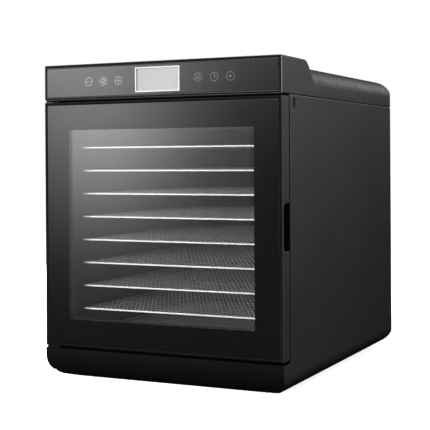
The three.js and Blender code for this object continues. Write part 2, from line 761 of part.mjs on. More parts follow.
// Where the mains lead would enter: a flanged bushing with a through bore.
function addCordGland() {
  const flange = REAR_PANEL_Y[1] + GAP;
  const profile = [
    [GLAND_BORE, REAR_PANEL_Y[0] - 6],
    [GLAND_BODY_RADIUS, REAR_PANEL_Y[0] - 6],
    [GLAND_BODY_RADIUS, flange],
    [GLAND_FLANGE_RADIUS, flange],
    [GLAND_FLANGE_RADIUS - 1, flange + 2],
    [GLAND_BORE, flange + 2],
  ];
  addPart('cord_gland', turnedAlongY(profile, GLAND_CENTRE, 20), RUBBER);
}

// ---- Door ------------------------------------------------------------------------------

const DOOR_REAR_Y = FRONT_Y + DOOR_THICKNESS;
const STRIKE_SIZE = 14;
const STRIKE_THICKNESS = 1.5;
const STRIKE_X = [147, 147 + STRIKE_SIZE];
const NOTCH_FRONT_Y = FRONT_Y + 3.5;
const NOTCH_CORNER_RADIUS = 8;

function addDoorFrame() {
  const plan = [
    [-RIGHT_X, FRONT_Y],
    [RIGHT_X, FRONT_Y],
    [RIGHT_X, DOOR_REAR_Y],
    [-RIGHT_X, DOOR_REAR_Y, DOOR_HINGE_CORNER_RADIUS],
  ];
  const glassX = RIGHT_X - GLASS_INSET + GAP;
  const glassSeat = block(
    [-glassX, glassX],
    [FRONT_Y - PAST, FRONT_Y + GLASS_THICKNESS + 2 * GAP],
    [DOOR_Z[0] + GLASS_INSET - GAP, DOOR_Z[1] - GLASS_INSET + GAP],
  );
  const windowX = WINDOW_WIDTH / 2;
  const throughDoor = [FRONT_Y - PAST, DOOR_REAR_Y + PAST];
  const opening = prismY(rectangle([-windowX, windowX], WINDOW_Z, 2), throughDoor);
  const recess = block(
    [-DOOR_RECESS_WIDTH / 2, DOOR_RECESS_WIDTH / 2],
    [DOOR_REAR_Y - DOOR_RECESS_DEPTH, DOOR_REAR_Y + PAST],
    DOOR_RECESS_Z,
  );
  const notchOutline = [
    [NOTCH_FRONT_Y, NOTCH_Z[0], NOTCH_CORNER_RADIUS],
    [DOOR_REAR_Y + PAST, NOTCH_Z[0]],
    [DOOR_REAR_Y + PAST, NOTCH_Z[1]],
    [NOTCH_FRONT_Y, NOTCH_Z[1], NOTCH_CORNER_RADIUS],
  ];
  const notch = prismX(notchOutline, [RIGHT_X - NOTCH_DEPTH, RIGHT_X + PAST]);
  const bores = [
    [DOOR_Z[0] - 1, DOOR_Z[0] + PIN_IN_DOOR + 1],
    [DOOR_Z[1] - PIN_IN_DOOR - 1, DOOR_Z[1] + 1],
  ].map((span) => turnedUpright(disc(PIN_RADIUS + PIN_CLEARANCE, span), [HINGE_X, HINGE_Y], 16));
  const strikePockets = Object.values(CATCH_HEIGHTS).map((height) =>
    block(
      [STRIKE_X[0] - GAP, STRIKE_X[1] + GAP],
      [DOOR_REAR_Y - STRIKE_THICKNESS - GAP, DOOR_REAR_Y + 1],
      catchZ(height, STRIKE_SIZE + 2 * GAP),
    ),
  );
  const slab = prismZ(plan, DOOR_Z);
  const frame = cut(slab, glassSeat, opening, recess, notch, ...bores, ...strikePockets);
  addPart('door_frame', frame, BLACK_PLASTIC);
}

function addDoorGlass() {
  const x = RIGHT_X - GLASS_INSET;
  const pane = prismY(
    rectangle([-x, x], [DOOR_Z[0] + GLASS_INSET, DOOR_Z[1] - GLASS_INSET], 2),
    [FRONT_Y + GAP, FRONT_Y + GAP + GLASS_THICKNESS],
  );
  addPart('door_glass', pane, WINDOW_GLASS);
}

// A silicone ring on the inside of the door that closes the gap to the cabinet's front frame.
function addGasket() {
  const y = [DOOR_REAR_Y + GAP, DOOR_REAR_Y + GAP + GASKET_SIZE - 0.4];
  const outerX = RIGHT_X - 14;
  const outerZ = [DOOR_Z[0] + 3, DOOR_Z[1] - 3];
  const innerZ = [outerZ[0] + GASKET_SIZE, outerZ[1] - GASKET_SIZE];
  const innerX = outerX - GASKET_SIZE;
  const ring = cut(
    prismY(rectangle([-outerX, outerX], outerZ, 6), y),
    prismY(rectangle([-innerX, innerX], innerZ, 3), [y[0] - 1, y[1] + 1]),
  );
  addPart('door_gasket', ring, RUBBER);
}

function addHinge() {
  const headRadius = PIN_RADIUS + 2.5;
  const upperHead = SEAM_Z + GAP / 2 + WALL + GAP;
  const upper = [
    [0, DOOR_Z[1] - PIN_IN_DOOR],
    [PIN_RADIUS, DOOR_Z[1] - PIN_IN_DOOR],
    [PIN_RADIUS, upperHead],
    [headRadius, upperHead],
    [headRadius, upperHead + 0.8],
    [0, upperHead + 0.8],
  ];
  const lowerHead = BASE_FRONT_TOP_Z - WALL - GAP;
  const lower = [
    [0, lowerHead - 2.5],
    [headRadius, lowerHead - 2.5],
    [headRadius, lowerHead],
    [PIN_RADIUS, lowerHead],
    [PIN_RADIUS, DOOR_Z[0] + PIN_IN_DOOR],
    [0, DOOR_Z[0] + PIN_IN_DOOR],
  ];
  const washer = [
    [PIN_RADIUS + GAP, BASE_FRONT_TOP_Z + GAP],
    [PIN_RADIUS + 4, BASE_FRONT_TOP_Z + GAP],
    [PIN_RADIUS + 4, DOOR_Z[0] - GAP],
    [PIN_RADIUS + GAP, DOOR_Z[0] - GAP],
  ];
  addPart('hinge_pin_upper', turnedUpright(upper, [HINGE_X, HINGE_Y], 16), STEEL);
  addPart('hinge_pin_lower', turnedUpright(lower, [HINGE_X, HINGE_Y], 16), STEEL);
  addPart('hinge_washer', turnedUpright(washer, [HINGE_X, HINGE_Y], 16), WHITE_PLASTIC);
}

// Two magnets in the cabinet's front frame hold two steel plates on the door.
function addCatches() {
  for (const [place, height] of Object.entries(CATCH_HEIGHTS)) {
    const magnetY = [CABINET_FRONT_Y, CABINET_FRONT_Y + 6];
    addPart(`catch_magnet_${place}`, block(MAGNET_X, magnetY, catchZ(height, MAGNET_SIZE)), MAGNET);
    const strikeY = [DOOR_REAR_Y - STRIKE_THICKNESS, DOOR_REAR_Y];
    addPart(`strike_plate_${place}`, block(STRIKE_X, strikeY, catchZ(height, STRIKE_SIZE)), STEEL);
  }
}

addSidePanels();
addBasePan();
addFeet();
addBaseFront();
addTopCover();
addControlPanel();
addFrontFrame();
addLiners();
addFloorAndCeiling();
addRearGrille();
addTrays();
addDripTray();
addFan();
addMotor();
addHeater();
addRearPanel();
addScrews();
addCordGland();
addDoorFrame();
addDoorGlass();
addGasket();
addHinge();
addCatches();

export default dehydrator;
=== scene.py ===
# Visual model of a counter-top food dehydrator: ten wire trays behind a side-hinged glass door,
# a gloss touch panel above it and a moulded charcoal cabinet around it.
# Metres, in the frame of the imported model: +X right seen from the front, +Y back, +Z up.
import json
import math

import bmesh
import bpy
from mathutils import Matrix, Vector
from mathutils.geometry import tessellate_polygon


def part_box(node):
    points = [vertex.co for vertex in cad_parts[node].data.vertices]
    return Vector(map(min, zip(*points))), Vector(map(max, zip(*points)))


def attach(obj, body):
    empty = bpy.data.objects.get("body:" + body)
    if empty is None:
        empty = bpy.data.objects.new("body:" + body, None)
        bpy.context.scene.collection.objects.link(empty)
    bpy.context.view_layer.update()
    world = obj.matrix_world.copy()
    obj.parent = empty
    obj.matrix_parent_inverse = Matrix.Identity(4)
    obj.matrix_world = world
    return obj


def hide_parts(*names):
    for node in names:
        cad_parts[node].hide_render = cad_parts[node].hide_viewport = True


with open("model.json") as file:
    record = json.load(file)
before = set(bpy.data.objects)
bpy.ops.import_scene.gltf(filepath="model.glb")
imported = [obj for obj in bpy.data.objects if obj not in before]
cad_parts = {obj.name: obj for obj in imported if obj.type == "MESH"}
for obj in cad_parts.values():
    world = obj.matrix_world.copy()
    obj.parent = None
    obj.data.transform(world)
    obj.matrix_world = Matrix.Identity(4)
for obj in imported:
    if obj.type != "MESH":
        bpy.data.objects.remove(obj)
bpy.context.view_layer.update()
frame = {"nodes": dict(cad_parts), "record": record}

MM = 0.001

# ---- Camera, light and floor -----------------------------------------------------------

CAMERA_PLACE = (0.6623, -1.4507, 0.2947)
CAMERA_YAW = math.radians(25.48)
CAMERA_ROLL = math.radians(-0.39)
CAMERA_LENS = 91.81
CAMERA_SHIFT_Y = -0.132


def add_camera():
    """A camera off the front right corner, at the height of the upper trays, level but for a slight roll."""
    data = bpy.data.cameras.new("camera")
    data.lens = CAMERA_LENS
    data.shift_y = CAMERA_SHIFT_Y
    camera = bpy.data.objects.new("camera", data)
    turn = Matrix.Rotation(CAMERA_YAW, 3, "Z") @ Matrix.Rotation(math.pi / 2, 3, "X")
    camera.location = CAMERA_PLACE
    camera.rotation_euler = (turn @ Matrix.Rotation(CAMERA_ROLL, 3, "Z")).to_euler()
    bpy.context.scene.collection.objects.link(camera)
    bpy.context.scene.camera = camera


def add_node(tree, kind, *wires, **values):
    """A new node, with wires (input, output) plugged in and values set by input name or index."""
    made = tree.nodes.new(kind)
    for name, value in values.items():
        setattr(made, name, value)
    for socket, source in wires:
        if isinstance(source, bpy.types.NodeSocket):
            tree.links.new(source, made.inputs[socket])
        else:
            made.inputs[socket].default_value = source
    return made


def calculate(tree, operation, *terms):
    made = add_node(tree, "ShaderNodeMath", *enumerate(terms), operation=operation)
    return made.outputs[0]


def dot(tree, vector, other):
    made = add_node(tree, "ShaderNodeVectorMath", (0, vector), (1, other), operation="DOT_PRODUCT")
    return made.outputs["Value"]


def heading(azimuth, elevation):
    """A direction. Azimuth 0 is towards the viewer (-Y), 90 to the left (-X), in degrees."""
    a, e = math.radians(azimuth), math.radians(elevation)
    return Vector((-math.sin(a) * math.cos(e), -math.cos(a) * math.cos(e), math.sin(e)))


def softbox(tree, view, azimuth, elevation, wide, high, strength):
    """A soft-edged patch of light in the surroundings; wide and high are its spreads in degrees."""
    centre = heading(azimuth, elevation)
    across = Vector((centre.y, -centre.x, 0)).normalized()
    upward = centre.cross(across)
    a = calculate(tree, "DIVIDE", dot(tree, view, across), math.sin(math.radians(wide)))
    b = calculate(tree, "DIVIDE", dot(tree, view, upward), math.sin(math.radians(high)))
    squares = calculate(tree, "ADD", calculate(tree, "MULTIPLY", a, a), calculate(tree, "MULTIPLY", b, b))
    falloff = calculate(tree, "EXPONENT", calculate(tree, "MULTIPLY", squares, -0.5))
    ahead = calculate(tree, "GREATER_THAN", dot(tree, view, centre), 0.0)
    return calculate(tree, "MULTIPLY", calculate(tree, "MULTIPLY", falloff, ahead), strength)


SOFTBOXES = [  # azimuth, elevation, spread across, spread up, strength
    (32, 3, 3.4, 3.9, 1.0),
    (55, 8.7, 12.8, 3, 5.7),
    (20, 38, 24, 9, 1.7),
    (20, 5, 50, 30, 0.045),
    (195, 17, 10, 6, 2.2),
    (-64, 10, 4, 28, 2.0),
]
AMBIENT_BELOW = 0.005
AMBIENT_ABOVE = 0.025
HORIZON_SPREAD = 0.25
BACKDROP = 1.0
LAMPS = [  # name, place, point it faces, diameter, power
    ("right_front", (0.6, -0.4, 0.72), (0.17, -0.1, 0.3), 0.35, 6.8),
    ("rear_left", (-0.9, 1.2, 0.5), (-0.1, 0.1, 0.2), 0.5, 26),
    ("front_fill", (-0.4, -1.6, 0.35), (0, -0.2, 0.2), 0.6, 100),
]
FLOOR_HALF_WIDTH = 20
FLOOR_GLOW = 0.88


def add_surroundings():
    """White to the eye; to surfaces, a dim studio with soft boxes of light."""
    world = bpy.data.worlds.new("studio")
    bpy.context.scene.world = world
    world.use_nodes = True
    tree = world.node_tree
    tree.nodes.clear()
    view = add_node(tree, "ShaderNodeTexCoord").outputs["Generated"]
    height = add_node(tree, "ShaderNodeSeparateXYZ", ("Vector", view)).outputs["Z"]
    horizon = add_node(
        tree,
        "ShaderNodeMapRange",
        ("Value", height),
        ("From Min", -HORIZON_SPREAD),
        ("From Max", HORIZON_SPREAD),
        ("To Min", AMBIENT_BELOW),
        ("To Max", AMBIENT_ABOVE),
        interpolation_type="SMOOTHSTEP",
    )
    total = horizon.outputs["Result"]
    for box in SOFTBOXES:
        total = calculate(tree, "ADD", total, softbox(tree, view, *box))
    white = ("Color", (1, 1, 1, 1))
    studio = add_node(tree, "ShaderNodeBackground", white, ("Strength", total))
    backdrop = add_node(tree, "ShaderNodeBackground", white, ("Strength", BACKDROP))
    seen = add_node(tree, "ShaderNodeLightPath").outputs["Is Camera Ray"]
    mixed = add_node(
        tree, "ShaderNodeMixShader", (0, seen), (1, studio.outputs[0]), (2, backdrop.outputs[0])
    )
    add_node(tree, "ShaderNodeOutputWorld", ("Surface", mixed.outputs[0]))


def add_lamp(name, place, target, diameter, power):
    """A round lamp that lights surfaces without showing in their gloss."""
    data = bpy.data.lights.new(name, "AREA")
    data.shape = "DISK"
    data.size = diameter
    data.energy = power
    lamp = bpy.data.objects.new(name, data)
    lamp.location = place
    aim = Vector(target) - Vector(place)
    lamp.rotation_euler = aim.to_track_quat("-Z", "Y").to_euler()
    lamp.visible_glossy = False
    bpy.context.scene.collection.objects.link(lamp)


def add_floor():
    """A pale floor that takes the object's shadow but throws no light back onto it."""
    bm = bmesh.new()
    bmesh.ops.create_grid(bm, x_segments=1, y_segments=1, size=FLOOR_HALF_WIDTH)
    mesh = bpy.data.meshes.new("floor")
    bm.to_mesh(mesh)
    bm.free()
    floor = bpy.data.objects.new("floor", mesh)
    bpy.context.scene.collection.objects.link(floor)
    floor.visible_glossy = False
    floor.visible_diffuse = False
    finish = Finish("pale_floor", colour=0.9, roughness=0.8)
    finish.set("Emission Color", grey(1))
    finish.set("Emission Strength", FLOOR_GLOW)
    mesh.materials.append(finish.material)


# ---- Materials -------------------------------------------------------------------------


def grey(value):
    return (value, value, value, 1.0)


class Finish:
    """A Principled material with procedural variation, mapped in metres over the model's frame."""

    def __init__(self, name, colour, roughness, metallic=0.0):
        self.material = bpy.data.materials.new(name)
        self.material.use_nodes = True
        self.tree = self.material.node_tree
        self.shader = self.tree.nodes["Principled BSDF"]
        self.place = add_node(self.tree, "ShaderNodeTexCoord").outputs["Object"]
        self.tint = grey(colour) if isinstance(colour, float) else colour
        self.set("Base Color", self.tint)
        self.set("Roughness", roughness)
        self.set("Metallic", metallic)

    def set(self, socket, value):
        self.shader.inputs[socket].default_value = value

    def plug(self, socket, source):
        self.tree.links.new(source, self.shader.inputs[socket])

    def noise(self, scale, detail=3.0, stretch=(1, 1, 1)):
        """Noise with the given number of features to a metre, closer together where stretched."""
        place = self.place
        if stretch != (1, 1, 1):
            mapping = add_node(self.tree, "ShaderNodeMapping", ("Vector", place), ("Scale", stretch))
            place = mapping.outputs[0]
        noise = add_node(
            self.tree, "ShaderNodeTexNoise", ("Vector", place), ("Scale", scale), ("Detail", detail)
        )
        return noise.outputs["Fac"]

    def spread(self, source, low, high):
        """Noise, which keeps near a half, stretched over a range of values."""
        made = add_node(
            self.tree,
            "ShaderNodeMapRange",
            ("Value", source),
            ("From Min", 0.3),
            ("From Max", 0.7),
            ("To Min", low),
            ("To Max", high),
        )
        return made.outputs["Result"]

    def mottle(self, source, depth):
        """Lightens and darkens the base colour by that share of itself."""
        mix = add_node(self.tree, "ShaderNodeMix", ("Factor", self.spread(source, 0, 1)), data_type="RGBA")
        for socket, share in (("A", 1 - depth), ("B", 1 + depth)):
            shade = [channel * share for channel in self.tint[:3]] + [1.0]
            next(i for i in mix.inputs if i.name == socket and i.type == "RGBA").default_value = shade
        self.plug("Base Color", next(o for o in mix.outputs if o.type == "RGBA"))

    def roughen(self, source, low, high):
        self.plug("Roughness", self.spread(source, low, high))

    def bump(self, source, strength, height):
        bump = add_node(
            self.tree, "ShaderNodeBump", ("Height", source), ("Strength", strength), ("Distance", height)
        )
        self.plug("Normal", bump.outputs[0])


def moulded_plastic(name, colour, roughness, specular=0.2):
    """Spark-eroded plastic: a fine grain, a faint cloudiness and slightly uneven gloss."""
    finish = Finish(name, colour, roughness)
    finish.set("Specular IOR Level", specular)
    finish.mottle(finish.noise(14), 0.07)
    finish.roughen(finish.noise(60), roughness - 0.04, roughness + 0.05)
    finish.bump(finish.noise(1500, detail=2), 0.12, 0.04 * MM)
    return finish.material


GLOSS_IOR = 2.2
WIPE_MARKS = {"scale": 9.0, "stretch": (1, 1, 4)}


def gloss_black(name):
    """Polished black glass, with faint wipe marks in its gloss."""
    finish = Finish(name, colour=0.0003, roughness=0.05)
    finish.mottle(finish.noise(40), 0.2)
    finish.roughen(finish.noise(**WIPE_MARKS), 0.03, 0.09)
    finish.set("IOR", GLOSS_IOR)
    return finish.material


def printed_mark(name, level):
    """Ink printed under the panel's gloss."""
    finish = Finish(name, level, roughness=0.06)
    finish.set("IOR", GLOSS_IOR)
    finish.mottle(finish.noise(400), 0.06)
    finish.roughen(finish.noise(**WIPE_MARKS), 0.04, 0.1)
    return finish.material


WINDOW_MIRROR = 0.26
WINDOW_TINT = (0.95, 0.95, 0.955, 1)


def clear_glass(name):
    """Thin clear glass: each face mirrors a share that rises at a slant, and lets the rest through."""
    material = bpy.data.materials.new(name)
    material.use_nodes = True
    tree = material.node_tree
    tree.nodes.remove(tree.nodes["Principled BSDF"])
    place = add_node(tree, "ShaderNodeTexCoord").outputs["Object"]
    wipes = add_node(tree, "ShaderNodeTexNoise", ("Vector", place), ("Scale", WIPE_MARKS["scale"]))
    haze = add_node(
        tree, "ShaderNodeMapRange", ("Value", wipes.outputs["Fac"]), ("To Min", 0.05), ("To Max", 0.08)
    )
    mirror = add_node(tree, "ShaderNodeBsdfGlossy", ("Roughness", haze.outputs["Result"]))
    tint = add_node(tree, "ShaderNodeBsdfTransparent", ("Color", WINDOW_TINT))
    slant = add_node(tree, "ShaderNodeLayerWeight", ("Blend", 0.5)).outputs["Facing"]
    rise = calculate(tree, "MULTIPLY", calculate(tree, "POWER", slant, 5.0), 1 - WINDOW_MIRROR)
    share = calculate(tree, "ADD", rise, WINDOW_MIRROR)
    mix = add_node(tree, "ShaderNodeMixShader", (0, share), (1, tint.outputs[0]), (2, mirror.outputs[0]))
    tree.links.new(mix.outputs[0], tree.nodes["Material Output"].inputs["Surface"])
    return material


def chrome_wire(name, level, metallic):
    """Bright plated wire, clouded a little along its length."""
    finish = Finish(name, level, roughness=0.35, metallic=metallic)
    finish.mottle(finish.noise(120), 0.05)
    finish.roughen(finish.noise(300), 0.3, 0.42)
    return finish.material


def brushed_steel(name):
    """Sheet steel with its grain along Y."""
    finish = Finish(name, (0.42, 0.42, 0.43, 1), roughness=0.35, metallic=1.0)
    grain = finish.noise(60, detail=4, stretch=(20, 0.6, 20))
    finish.mottle(grain, 0.1)
    finish.roughen(grain, 0.28, 0.45)
    finish.bump(grain, 0.1, 0.03 * MM)
    return finish.material


def soft_rubber(name):
    finish = Finish(name, colour=0.018, roughness=0.75)
    finish.mottle(finish.noise(90), 0.2)
    finish.roughen(finish.noise(200), 0.65, 0.85)
    finish.bump(finish.noise(900), 0.2, 0.06 * MM)
    return finish.material


def lcd_face(name, low, high):
    """An unlit grey display with a faint grid of cells, and painted shade along its left and top edges where
    its frame would shadow it.

    The corners low and high are those of the display's box."""
    side_shade, top_shade = 6 * MM, 3.5 * MM
    finish = Finish(name, colour=0.12, roughness=0.25)
    grid = add_node(
        finish.tree,
        "ShaderNodeTexBrick",
        ("Vector", finish.place),
        ("Scale", 700.0),
        ("Color1", grey(0.12)),
        ("Color2", grey(0.115)),
        ("Mortar", grey(0.105)),
    )
    axes = add_node(finish.tree, "ShaderNodeSeparateXYZ", ("Vector", finish.place))
    shares = []
    # painted shade: darker within side_shade of the left edge and top_shade of the top edge
    for axis, edge, reach in (("X", low.x, side_shade), ("Z", high.z, -top_shade)):
        shade = add_node(
            finish.tree,
            "ShaderNodeMapRange",
            ("Value", axes.outputs[axis]),
            ("From Min", edge),
            ("From Max", edge + reach),
            ("To Min", 0.35),
            ("To Max", 1.0),
            interpolation_type="SMOOTHSTEP",
        )
        shares.append(shade.outputs["Result"])
    shaded = add_node(
        finish.tree,
        "ShaderNodeVectorMath",
        (0, grid.outputs["Color"]),
        ("Scale", calculate(finish.tree, "MULTIPLY", *shares)),
        operation="SCALE",
    )
    finish.plug("Base Color", shaded.outputs["Vector"])
    finish.roughen(finish.noise(50), 0.2, 0.3)
    return finish.material


def circuit_board(name):
    """Green solder mask over a raised pattern of tracks."""
    finish = Finish(name, (0.015, 0.1, 0.04, 1), roughness=0.4)
    tracks = add_node(
        finish.tree, "ShaderNodeTexVoronoi", ("Vector", finish.place), ("Scale", 180.0), distance="MANHATTAN"
    )
    finish.mottle(tracks.outputs["Distance"], 0.35)
    finish.bump(tracks.outputs["Distance"], 0.3, 0.1 * MM)
    return finish.material


def plain_metal(name, colour):
    finish = Finish(name, colour, roughness=0.4, metallic=1.0)
    finish.mottle(finish.noise(80), 0.12)
    finish.roughen(finish.noise(150), 0.32, 0.5)
    return finish.material


SLOT_MATERIALS = {
    "side_plastic": moulded_plastic("charcoal_plastic", 0.030, 0.4),
    "black_plastic": moulded_plastic("black_plastic", 0.0012, 0.38),
    "inner_plastic": moulded_plastic("liner_plastic", 0.013, 0.5),
    "panel_glass": gloss_black("gloss_black"),
    "window_glass": clear_glass("clear_glass"),
    "display_face": lcd_face("lcd_face", *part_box("display_module")),
    "chrome_wire": chrome_wire("chrome_wire", 0.58, 0.15),
    "steel": brushed_steel("brushed_steel"),
    "motor_metal": plain_metal("zinc_plate", (0.35, 0.35, 0.37, 1)),
    "rubber": soft_rubber("soft_rubber"),
    "circuit_board": circuit_board("solder_mask"),
    "white_plastic": moulded_plastic("nylon", 0.5, 0.5),
    "magnet": plain_metal("ferrite", (0.08, 0.08, 0.085, 1)),
}
# painted highlight and painted shade: a bright copy of the rim wire for its front, a dark copy for its sides
# and back
WIRE_PAINTED_HIGHLIGHT = chrome_wire("wire_painted_highlight", 0.95, 0.1)
WIRE_PAINTED_SHADE = chrome_wire("wire_painted_shade", 0.15, 0.3)
REAR_WALL = moulded_plastic("rear_wall_plastic", 0.056, 0.5)
REAR_PANEL = moulded_plastic("rear_panel_plastic", 0.018, 0.45)
# painted shade: a near-black, nearly glossless plastic for the notch, the gaps and the faces behind the door
PAINTED_SHADE_PLASTIC = moulded_plastic("painted_shade_plastic", 0.002, 0.6, specular=0.03)
WHITE_INK = printed_mark("white_ink", 0.19)
BRIGHT_INK = printed_mark("bright_ink", 0.075)
GREY_INK = printed_mark("grey_ink", 0.038)
# painted highlight: a lighter plastic for the rounded right front edge of the top cover
EDGE_PAINTED_HIGHLIGHT = moulded_plastic("edge_painted_highlight", 0.085, 0.35)
# painted highlight, fainter: for the rounded front and top edges of the side panels
FAINT_PAINTED_HIGHLIGHT = moulded_plastic("faint_painted_highlight", 0.045, 0.35)


# ---- Mesh building ---------------------------------------------------------------------

SMOOTH_ANGLE = math.radians(35)
WELD = 0.2 * MM
FLAT_ANGLE = math.radians(0.5)
SHARP_ANGLE = math.radians(40)
ROUNDING_SEGMENTS = 3


def make_piece(name, verts, faces, material):
    """A new object from vertices and faces, shaded smooth except over sharp edges."""
    mesh = bpy.data.meshes.new(name)
    mesh.from_pydata(verts, [], faces)
    return finish_piece(name, mesh, material)


def finish_piece(name, mesh, material):
    mesh.validate()
    for polygon in mesh.polygons:
        polygon.use_smooth = True
    mesh.set_sharp_from_angle(angle=SMOOTH_ANGLE)
    mesh.materials.clear()
    mesh.materials.append(material)
    piece = bpy.data.objects.new(name, mesh)
    bpy.context.scene.collection.objects.link(piece)
    flats = piece.modifiers.new("flat_faces_stay_flat", "WEIGHTED_NORMAL")
    flats.keep_sharp = True
    return piece


def arc(centre, radius, start, end, steps):
    """Points on an arc between two angles in degrees."""
    points = []
    for step in range(steps + 1):
        angle = math.radians(start + (end - start) * step / steps)
        points.append((centre[0] + radius * math.cos(angle), centre[1] + radius * math.sin(angle)))
    return points


def circle(centre, radius, steps=40):
    return arc(centre, radius, 0, 360, steps)[:-1]


def rounded(low, high, radius, steps=6):
    """An anticlockwise rectangle with round corners."""
    (a0, b0), (a1, b1) = low, high
    r = radius
    corners = (
        ((a1 - r, b0 + r), 270),
        ((a1 - r, b1 - r), 0),
        ((a0 + r, b1 - r), 90),
        ((a0 + r, b0 + r), 180),
    )
    points = []
    for centre, start in corners:
        points += arc(centre, r, start, start + 90, steps)
    return points


def inset(loop, distance):
    """The loop moved to its left, with mitred corners."""
    count = len(loop)
    moved = []
    for index, point in enumerate(loop):
        here = Vector(point)
        before = (here - Vector(loop[index - 1])).normalized()
        after = (Vector(loop[(index + 1) % count]) - here).normalized()
        left = Vector((-before.y - after.y, before.x + after.x)).normalized()
        stretch = max(0.3, left.dot(Vector((-before.y, before.x))))
        moved.append(tuple(here + left * (distance / stretch)))
    return moved


def eased(front, back, radius, steps=3):
    """A plate's edge from front to back, rounded over: (distance in from its outline, Y) pairs."""
    profile = []
    for step in range(steps + 1):
        turn = math.pi / 2 * step / steps
        profile.append((radius * (1 - math.sin(turn)), front + radius * (1 - math.cos(turn))))
    return profile + [(pull, front + back - y) for pull, y in reversed(profile)]


def plate(name, edge, holes, profile, material, hole_profile=None):
    """A flat plate across the XZ plane. The profiles are the sections of its edge and its holes.

    The edge is anticlockwise seen from the front. Holes are turned clockwise here."""
    loops = [edge] + [list(reversed(hole)) for hole in holes]
    verts, faces, cap, last = [], [], [], []
    for number, loop in enumerate(loops):
        start, count = len(verts), len(loop)
        section = profile if number == 0 or hole_profile is None else hole_profile
        for pull, y in section:
            verts += [(x, y, z) for x, z in inset(loop, pull)]
        last += range(len(verts) - count, len(verts))
        for ring in range(len(section) - 1):
            for index in range(count):
                here = start + ring * count
                a, b = here + index, here + (index + 1) % count
                faces.append((b, a, a + count, b + count))
        cap.append([start + index for index in range(count)])
    outlines = [[Vector((verts[i][0], verts[i][2], 0)) for i in ring] for ring in cap]
    flat = [i for ring in cap for i in ring]
    for triangle in tessellate_polygon(outlines):
        a, b, c = (flat[i] for i in triangle)
        area = (verts[b][0] - verts[a][0]) * (verts[c][2] - verts[a][2])
        area -= (verts[c][0] - verts[a][0]) * (verts[b][2] - verts[a][2])
        order = triangle if area > 0 else tuple(reversed(triangle))
        faces.append(tuple(flat[i] for i in order))
        faces.append(tuple(last[i] for i in reversed(order)))
    return make_piece(name, verts, faces, material)


def sweep(verts, faces, path, radius, sides, closed=False):
    """Adds a round wire along a path of points to lists of vertices and faces."""
    points = [Vector(p) for p in path]
    count = len(points)
    start = len(verts)
    side = None
    for index, point in enumerate(points):
        before = points[index - 1] if closed or index > 0 else point
        after = points[(index + 1) % count] if closed or index < count - 1 else point
        along = (after - before).normalized()
        hint = side if side is not None else Vector((0, 0, 1))
        if abs(hint.dot(along)) > 0.99:
            hint = Vector((1, 0, 0))
        side = (hint - along * hint.dot(along)).normalized()
        other = along.cross(side)
        for step in range(sides):
            angle = 2 * math.pi * step / sides
            verts.append(tuple(point + (side * math.cos(angle) + other * math.sin(angle)) * radius))
    for index in range(count if closed else count - 1):
        here, there = start + index * sides, start + (index + 1) % count * sides
        for step in range(sides):
            nxt = (step + 1) % sides
            faces.append((here + step, here + nxt, there + nxt, there + step))
    if not closed:
        faces.append(tuple(reversed(range(start, start + sides))))
        faces.append(tuple(range(start + (count - 1) * sides, start + count * sides)))


slot_of = {part["node"]: part["material_slot"] for part in frame["record"]["subparts"]}
body_of = {node: body for body, nodes in frame["record"]["behaviour"]["bodies"].items() for node in nodes}


def refined(node, rounding):
    """Stands for a CAD node: the same solid with clean faces, and its sharp outer edges rounded over."""
    bm = bmesh.new()
    bm.from_mesh(frame["nodes"][node].data)
    bmesh.ops.remove_doubles(bm, verts=bm.verts, dist=WELD)
    bmesh.ops.dissolve_limit(bm, angle_limit=FLAT_ANGLE, verts=bm.verts, edges=bm.edges)
    outer = [e for e in bm.edges if len(e.link_faces) == 2 and e.is_convex]
    sharp = [e for e in outer if e.calc_face_angle() > SHARP_ANGLE and e.calc_length() > rounding]
    if rounding > 0:
        bmesh.ops.bevel(
            bm,
            geom=sharp,
            offset=rounding,
            segments=ROUNDING_SEGMENTS,
            profile=0.5,
            affect="EDGES",
            clamp_overlap=False,
        )
    mesh = bpy.data.meshes.new(node)
    bm.to_mesh(mesh)
    bm.free()
    slot = slot_of[node]
    piece = finish_piece(node + "_finished", mesh, OWN_MATERIALS.get(node, SLOT_MATERIALS[slot]))
    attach(piece, body_of[node])
    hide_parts(node)
    return piece


def paint(piece, material, chosen):
    """Gives the faces that pass a test, on their centre and normal, a material of their own."""
    piece.data.materials.append(material)
    for polygon in piece.data.polygons:
        if chosen(polygon.center, polygon.normal):
            polygon.material_index = len(piece.data.materials) - 1


def place_on(piece, body):
    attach(piece, body)


# ---- Door glass ------------------------------------------------------------------------

FIT_GAP = 0.05 * MM
BORDER_SIDE = 37.5 * MM
BORDER_FOOT = 36 * MM
BORDER_HEAD = 37 * MM
WINDOW_CORNER = 1.5 * MM
GLASS_CORNER = 2 * MM
GLASS_EDGE = 0.5 * MM
WINDOW_RIM = 0.3 * MM
WINDOW_FLARE = 4 * MM


def add_door_glass():
    """One toughened pane: a border painted black behind, and a clear window in it.

    The hole in the border widens behind its rim, and the window follows it, so that the border's
    thickness doesn't show through the window."""
    low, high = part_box("door_glass")
    frame_low, frame_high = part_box("door_frame")
    window_low = (frame_low.x + BORDER_SIDE, frame_low.z + BORDER_FOOT)
    window_high = (frame_high.x - BORDER_SIDE, frame_high.z - BORDER_HEAD)
    window = rounded(window_low, window_high, WINDOW_CORNER)
    edge = rounded((low.x, low.z), (high.x, high.z), GLASS_CORNER)
    border = plate(
        "door_glass_border",
        edge,
        [window],
        eased(low.y, high.y, GLASS_EDGE),
        SLOT_MATERIALS["panel_glass"],
        [(0, low.y), (0, low.y + WINDOW_RIM), (WINDOW_FLARE, high.y)],
    )
    place_on(border, "door")
    pane = plate(
        "door_glass_window",
        window,
        [],
        [(FIT_GAP, low.y), (FIT_GAP, low.y + WINDOW_RIM), (FIT_GAP - WINDOW_FLARE, high.y)],
        SLOT_MATERIALS["window_glass"],
    )
    place_on(pane, "door")
    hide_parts("door_glass")
    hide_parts("door_glass")


# ---- Control panel ---------------------------------------------------------------------

